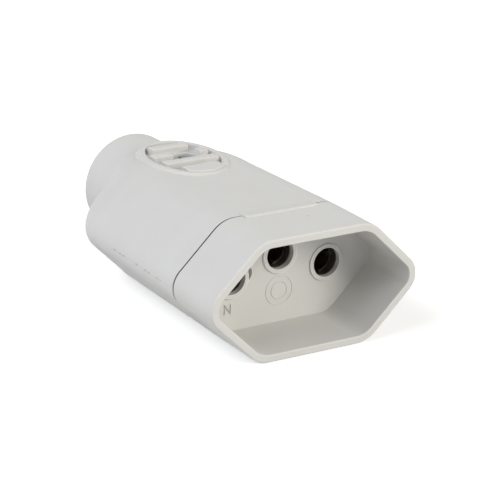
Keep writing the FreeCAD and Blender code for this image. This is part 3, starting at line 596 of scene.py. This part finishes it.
def model_screw(settings, head_radius, head_height, length):
    """A slotted cheese-head screw at the origin, its head's underside on the plane z = 0.

    It is modelled in millimetres, a thousand times its size, because at its own size the mesh tools
    take neighbouring points of the thread for one.
    """
    head_radius, head_height, length = (size / MM for size in (head_radius, head_height, length))
    deselect()
    bpy.ops.mesh.primitive_cylinder_add(vertices=48, radius=head_radius, depth=head_height,
                                        location=(0, 0, head_height / 2))
    head = bpy.context.object
    bpy.ops.object.transform_apply(location=True)
    bpy.ops.object.mode_set(mode="EDIT")
    bpy.ops.mesh.select_mode(type="VERT")
    bpy.ops.mesh.select_all(action="DESELECT")
    select_vertices(head, lambda point: point.z > head_height / 2)
    bpy.ops.mesh.bevel(offset=settings.head_round / MM, segments=4, affect="EDGES")
    bpy.ops.object.mode_set(mode="OBJECT")

    deselect()
    bpy.ops.mesh.primitive_cube_add(size=1, location=(0, 0, head_height))
    cutter = bpy.context.object
    cutter.scale = (settings.slot_width / MM, head_radius * 3, settings.slot_depth / MM * 2)
    bpy.ops.object.transform_apply(location=True, scale=True)
    apply_modifier(head, "BOOLEAN", operation="DIFFERENCE", object=cutter, solver="EXACT")
    bpy.data.objects.remove(cutter)

    thread = model_thread(settings, length)
    apply_modifier(head, "BOOLEAN", operation="UNION", object=thread, solver="EXACT")
    bpy.data.objects.remove(thread)
    return head


def model_ring(radius, bead):
    """A round bead bent to a ring in the plane z = 0, spun from a small circle."""
    deselect()
    bpy.ops.mesh.primitive_circle_add(vertices=10, radius=bead, location=(radius, 0, 0),
                                      rotation=(math.pi / 2, 0, 0))
    ring = bpy.context.object
    bpy.ops.object.transform_apply(location=True, rotation=True)
    bpy.ops.object.mode_set(mode="EDIT")
    bpy.ops.mesh.select_all(action="SELECT")
    bpy.ops.mesh.spin(steps=64, angle=2 * math.pi, center=(0, 0, 0), axis=(0, 0, 1))
    bpy.ops.mesh.select_all(action="SELECT")
    bpy.ops.mesh.remove_doubles(threshold=MERGE_DISTANCE)
    bpy.ops.mesh.normals_make_consistent(inside=False)
    bpy.ops.object.mode_set(mode="OBJECT")
    return ring


def surface_x(node, y, z, side):
    """Where a CAD node's outer surface lies at one side, at a given y and z."""
    start = Vector((side * RAY_START, y, z))
    hit, point, _normal, _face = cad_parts[node].ray_cast(start, Vector((-side, 0, 0)))
    if not hit:
        raise RuntimeError("the ray misses " + node)
    return point.x


# Stage

def add_lamp(name, power, colour, size, place):
    """A square soft lamp that faces the socket and isn't seen itself."""
    deselect()
    bpy.ops.object.light_add(type="AREA", location=place)
    lamp = bpy.context.object
    lamp.name = name
    lamp.data.energy = power
    lamp.data.size = size
    lamp.data.color = colour[:3]
    lamp.rotation_euler = (Vector((0, 0, AXIS_Z)) - Vector(place)).to_track_quat("-Z", "Y").to_euler()
    lamp.visible_camera = False


def light_world(scene, strength):
    """Even light from all round, with white behind the socket."""
    world = bpy.data.worlds.new("studio")
    world.use_nodes = True
    scene.world = world
    tree = world.node_tree
    tree.nodes.clear()
    light = add_node(tree, "ShaderNodeBackground", Color=(1, 1, 1, 1), Strength=strength)
    white = add_node(tree, "ShaderNodeBackground", Color=(1, 1, 1, 1), Strength=1.0)
    mix = add_node(tree, "ShaderNodeMixShader",
                   [("Fac", seen_directly(tree)), (1, light.outputs[0]), (2, white.outputs[0])])
    add_node(tree, "ShaderNodeOutputWorld", [("Surface", mix.outputs[0])])


# Steps

class SOCKET_OT_finish_housing(bpy.types.Operator):
    """Give the cup and the cover their moulded finish"""
    bl_idname = "socket.finish_housing"
    bl_label = "Finish Housing"

    def execute(self, context):
        finish = context.scene.socket_finish
        # Moulded ABS: pale and satin, with a painted highlight on its edges, soft on the cover and crisp
        # on the cup
        cover = moulded_plastic("moulded_abs_light_grey", finish.housing, finish.housing_dull, finish,
                                finish.cover_edge_round, finish.edge_highlight)
        # Painted shade on the cover's edges inside the seam
        paint_seam_shade(cover, COVER_SEAM, finish)
        dress((COVER,), cover)
        # The same ABS, with painted shade deep in its pin holes
        cup = moulded_plastic("moulded_abs_shaded_holes", finish.housing, finish.housing_dull, finish,
                              finish.edge_round, finish.edge_highlight)
        # Painted shade on the cup's edges inside the seam
        paint_seam_shade(cup, CUP_SEAM, finish)
        paint_pin_hole_shade(cup, finish)
        dress((CUP,), cup)
        return {"FINISHED"}


class SOCKET_OT_finish_insulators(bpy.types.Operator):
    """Give the retainer and the clamp bridge their plainer plastic"""
    bl_idname = "socket.finish_insulators"
    bl_label = "Finish Insulators"

    def execute(self, context):
        finish = context.scene.socket_finish
        # Moulded nylon: a little darker and warmer than the housing, without a painted highlight on its
        # edges
        dress(INSULATORS, moulded_plastic("moulded_nylon_grey", finish.insulator, finish.housing_dull,
                                          finish, finish.edge_round))
        return {"FINISHED"}


class SOCKET_OT_finish_contacts(bpy.types.Operator):
    """Give the contacts and their spring rings their metals"""
    bl_idname = "socket.finish_contacts"
    bl_label = "Finish Contacts"

    def execute(self, context):
        finish = context.scene.socket_finish
        # Turned brass: a dulled pale gold, with lights drawn out by the tool's rings
        dress(CONTACTS, turned_metal("turned_brass", finish.brass, finish.brass_dark, ring=0.12 * MM,
                                     rough=0.24))
        # Rolled spring steel: dark and even, with softer lights
        dress(SPRINGS, turned_metal("rolled_spring_steel", finish.spring, finish.spring_dark,
                                    ring=0.2 * MM, rough=0.3))
        return {"FINISHED"}


class SOCKET_OT_screws(bpy.types.Operator):
    """Model the slotted screws with their threads"""
    bl_idname = "socket.screws"
    bl_label = "Screws"

    def execute(self, context):
        settings = context.scene.socket_screws
        finish = context.scene.socket_finish
        # Zinc-plated steel: pale and slightly blue, with a cloudy gloss
        material = turned_metal("zinc_plated_steel", finish.zinc, finish.zinc_dark, ring=0.1 * MM,
                                rough=0.28, axis="Z")
        groups = (((COVER_SCREW,), settings.head_height),
                  (TERMINAL_SCREWS, settings.terminal_head_height),
                  (CLAMP_SCREWS, settings.clamp_head_height))
        for nodes, head_height in groups:
            low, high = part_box(nodes[0])
            model = model_screw(settings, (high.x - low.x) / 2, head_height,
                                high.z - low.z - head_height)
            for node in nodes:
                low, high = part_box(node)
                screw = model.copy()
                screw.data = model.data.copy()
                context.collection.objects.link(screw)
                screw.location = ((low.x + high.x) / 2, (low.y + high.y) / 2, high.z - head_height)
                screw.scale = (MM, MM, MM)
                settle(screw, node + "_threaded", material)
                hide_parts(node)
            bpy.data.objects.remove(model)
        return {"FINISHED"}


class SOCKET_OT_parting_lines(bpy.types.Operator):
    """Lay the fine bead that the mould's parting leaves along the cover's two sides"""
    bl_idname = "socket.parting_lines"
    bl_label = "Parting Lines"

    def execute(self, context):
        marks = context.scene.socket_marks
        material = shaded_mark_plastic(context.scene.socket_finish)
        depths = [FLASH_FRONT + FLASH_STEP * step for step in range(FLASH_POINTS)]
        for side, name in ((-1, "parting_line_left"), (1, "parting_line_right")):
            deselect()
            bpy.ops.curve.primitive_nurbs_path_add(location=(0, 0, 0))
            bead = bpy.context.object
            spline = bead.data.splines[0]
            spline.points.add(len(depths) - len(spline.points))
            for point, depth in zip(spline.points, depths):
                y = RIM_Y + depth
                near_nib = any(abs(depth - nib) < FLASH_STEP / 2 for nib in FLASH_NIBS)
                point.radius = marks.nib_swell if near_nib else 1.0
                widest = CAD_BOX[1].x - point.radius * marks.flash_radius
                x = min(abs(surface_x(COVER, y, AXIS_Z, side)) - marks.flash_sunk, widest)
                point.co = (side * x, y, AXIS_Z, 1)
            spline.order_u = 3
            spline.use_endpoint_u = True
            bead.data.bevel_depth = marks.flash_radius
            bead.data.bevel_resolution = 2
            bead.data.resolution_u = 4
            bead.data.use_fill_caps = True
            bpy.ops.object.convert(target="MESH")
            settle(bpy.context.object, name, material)
        return {"FINISHED"}


class SOCKET_OT_floor_marks(bpy.types.Operator):
    """Raise the neutral hole's letter and the mould insert's rings on the floor of the cup"""
    bl_idname = "socket.floor_marks"
    bl_label = "Floor Marks"

    def execute(self, context):
        marks = context.scene.socket_marks
        finish = context.scene.socket_finish
        deselect()
        bpy.ops.object.text_add(location=marks.letter_place, rotation=UPRIGHT)
        letter = bpy.context.object
        letter.data.body = "N"
        letter.data.size = marks.pole_height / CAP_SHARE
        letter.data.align_x = "CENTER"
        letter.data.align_y = "CENTER"
        letter.data.extrude = marks.relief
        letter.data.offset = -marks.letter_thinning
        letter.scale.x = LETTER_NARROW
        bpy.ops.object.convert(target="MESH")
        settle(bpy.context.object, "neutral_letter", shaded_mark_plastic(finish))

        # The housing's ABS without the painted edge highlight: the rings show only by their light and
        # shade
        clean = moulded_plastic("moulded_abs_relief", finish.housing, finish.housing_dull, finish,
                                finish.edge_round)
        for name, radius in (("insert_ring", marks.ring_radius),
                             ("insert_inner_ring", marks.inner_ring_radius)):
            ring = model_ring(radius, marks.relief)
            ring.rotation_euler = UPRIGHT
            ring.location = marks.ring_place
            settle(ring, name, clean)
        return {"FINISHED"}


class SOCKET_OT_gate_mark(bpy.types.Operator):
    """Leave the small pin mark on top of the cup"""
    bl_idname = "socket.gate_mark"
    bl_label = "Gate Mark"

    def execute(self, context):
        marks = context.scene.socket_marks
        deselect()
        bpy.ops.mesh.primitive_cylinder_add(
            vertices=24, radius=marks.gate_radius, depth=2 * marks.relief,
            location=(*marks.gate_place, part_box(CUP)[1].z))
        pin = bpy.context.object
        bpy.ops.object.transform_apply(location=True)
        apply_modifier(pin, "BEVEL", width=GATE_ROUND * marks.relief, segments=2)
        settle(pin, "gate_mark", shaded_mark_plastic(context.scene.socket_finish))
        return {"FINISHED"}


class SOCKET_OT_stage(bpy.types.Operator):
    """Set up the paper floor, the lamps and the camera"""
    bl_idname = "socket.stage"
    bl_label = "Stage"

    def execute(self, context):
        stage = context.scene.socket_stage
        deselect()
        bpy.ops.mesh.primitive_plane_add(size=FLOOR_WIDTH, location=(0, 0, -FLOOR_GAP))
        floor = bpy.context.object
        floor.name = "paper_floor"
        floor.data.materials.append(matt_paper(stage.paper, stage.fibres))
        light_world(context.scene, stage.sky)
        add_lamp("key_lamp", stage.key_power, stage.warm, size=0.45, place=(0.42, -0.8, 0.44))
        add_lamp("fill_lamp", stage.fill_power, stage.cool, size=0.3, place=(-0.64, -0.24, 0.66))
        add_lamp("side_lamp", stage.side_power, stage.cool, size=0.7, place=(-0.64, 0.28, 0.67))
        deselect()
        bpy.ops.object.camera_add(location=stage.camera_place, rotation=stage.camera_turn)
        camera = bpy.context.object
        camera.data.sensor_width = SENSOR_WIDTH
        camera.data.lens = stage.lens
        camera.data.clip_start = 0.01
        camera.data.clip_end = 20
        context.scene.camera = camera
        context.scene.view_settings.view_transform = "Standard"
        return {"FINISHED"}


class SOCKET_PT_panel(bpy.types.Panel):
    """The socket's settings and steps"""
    bl_label = "Inline Power Socket"
    bl_idname = "SOCKET_PT_panel"
    bl_space_type = "VIEW_3D"
    bl_region_type = "UI"
    bl_category = "Socket"

    def draw(self, context):
        for group, settings in SETTINGS.items():
            box = self.layout.box()
            for name in settings.__annotations__:
                box.prop(getattr(context.scene, group), name)
        for step in STEPS:
            self.layout.operator(step.bl_idname)


SETTINGS = {
    "socket_finish": SocketFinishSettings,
    "socket_screws": SocketScrewSettings,
    "socket_marks": SocketMarkSettings,
    "socket_stage": SocketStageSettings,
}
STEPS = (
    SOCKET_OT_finish_housing,
    SOCKET_OT_finish_insulators,
    SOCKET_OT_finish_contacts,
    SOCKET_OT_screws,
    SOCKET_OT_parting_lines,
    SOCKET_OT_floor_marks,
    SOCKET_OT_gate_mark,
    SOCKET_OT_stage,
)


def register():
    for name, settings in SETTINGS.items():
        bpy.utils.register_class(settings)
        setattr(bpy.types.Scene, name, bpy.props.PointerProperty(type=settings))
    for step in STEPS:
        bpy.utils.register_class(step)
    bpy.utils.register_class(SOCKET_PT_panel)


def unregister():
    bpy.utils.unregister_class(SOCKET_PT_panel)
    for step in reversed(STEPS):
        bpy.utils.unregister_class(step)
    for name, settings in SETTINGS.items():
        delattr(bpy.types.Scene, name)
        bpy.utils.unregister_class(settings)


def main():
    register()
    for step in STEPS:
        group, name = step.bl_idname.split(".")
        getattr(getattr(bpy.ops, group), name)()
    deselect()


if __name__ == "__main__":
    main()
